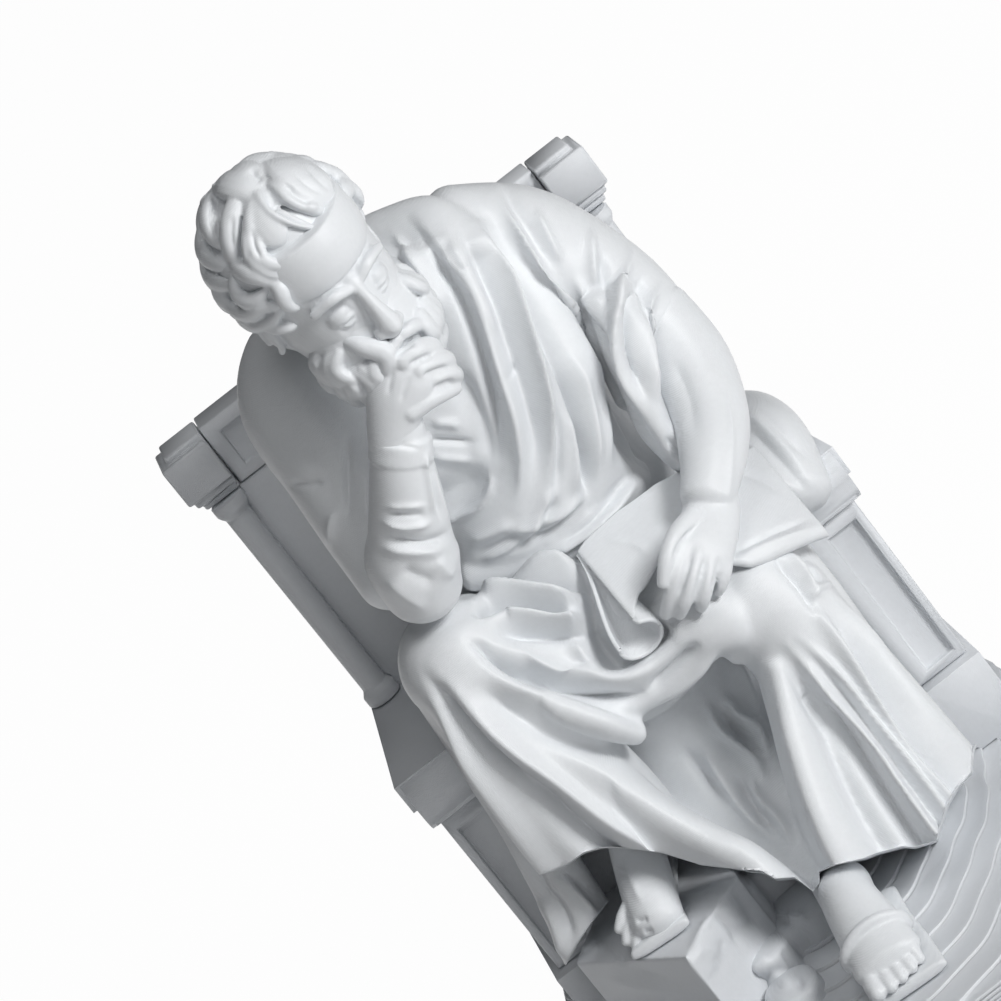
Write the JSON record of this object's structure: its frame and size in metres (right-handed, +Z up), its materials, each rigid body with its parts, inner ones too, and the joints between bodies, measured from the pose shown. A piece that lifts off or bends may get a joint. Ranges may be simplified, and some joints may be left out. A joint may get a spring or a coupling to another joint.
{
  "type": "philosopher statue",
  "caption": "Seated bearded thinker in a draped robe, chin on fist and scroll on lap, on a high-backed chair with a low carved base; desk ornament.",
  "frame": {"origin": "centre of the base's underside", "axes": "+Z up, the sitter faces -Y, the sitter's left is +X"},
  "size_m": [0.112, 0.14, 0.1923],
  "materials": {
    "chair_plastic": "satin white printed plastic with fine level layer lines",
    "figure_plastic": "satin white printed plastic with fine level layer lines"
  },
  "bodies": {
    "root": {"armrest_drape": "figure_plastic", "back_slab": "chair_plastic", "base_plinth": "chair_plastic", "beard": "figure_plastic", "centre_drape": "figure_plastic", "footrest_block": "chair_plastic", "front_rock": "chair_plastic", "ground_slab": "chair_plastic", "hair": "figure_plastic", "head": "figure_plastic", "headband": "figure_plastic", "lap_robe": "figure_plastic", "left_armrest": "chair_plastic", "left_base_rail": "chair_plastic", "left_capital": "chair_plastic", "left_colonnette": "chair_plastic", "left_foot": "figure_plastic", "left_forearm": "figure_plastic", "left_hand": "figure_plastic", "left_knee_drape": "figure_plastic", "left_leg_drape": "figure_plastic", "left_sandal": "figure_plastic", "left_side_panel": "chair_plastic", "left_sleeve": "figure_plastic", "neck": "figure_plastic", "right_armrest": "chair_plastic", "right_base_rail": "chair_plastic", "right_capital": "chair_plastic", "right_colonnette": "chair_plastic", "right_cuff": "figure_plastic", "right_foot": "figure_plastic", "right_forearm": "figure_plastic", "right_hand": "figure_plastic", "right_knee_drape": "figure_plastic", "right_leg_drape": "figure_plastic", "right_sandal": "figure_plastic", "right_side_drape": "figure_plastic", "right_side_panel": "chair_plastic", "right_sleeve": "figure_plastic", "scroll_curl": "figure_plastic", "scroll_page": "figure_plastic", "seat_block": "chair_plastic", "shoulder_mantle": "figure_plastic", "step_rock": "chair_plastic", "top_rail": "chair_plastic", "torso": "figure_plastic", "waist_roll": "figure_plastic"}
  },
  "joints": []
}
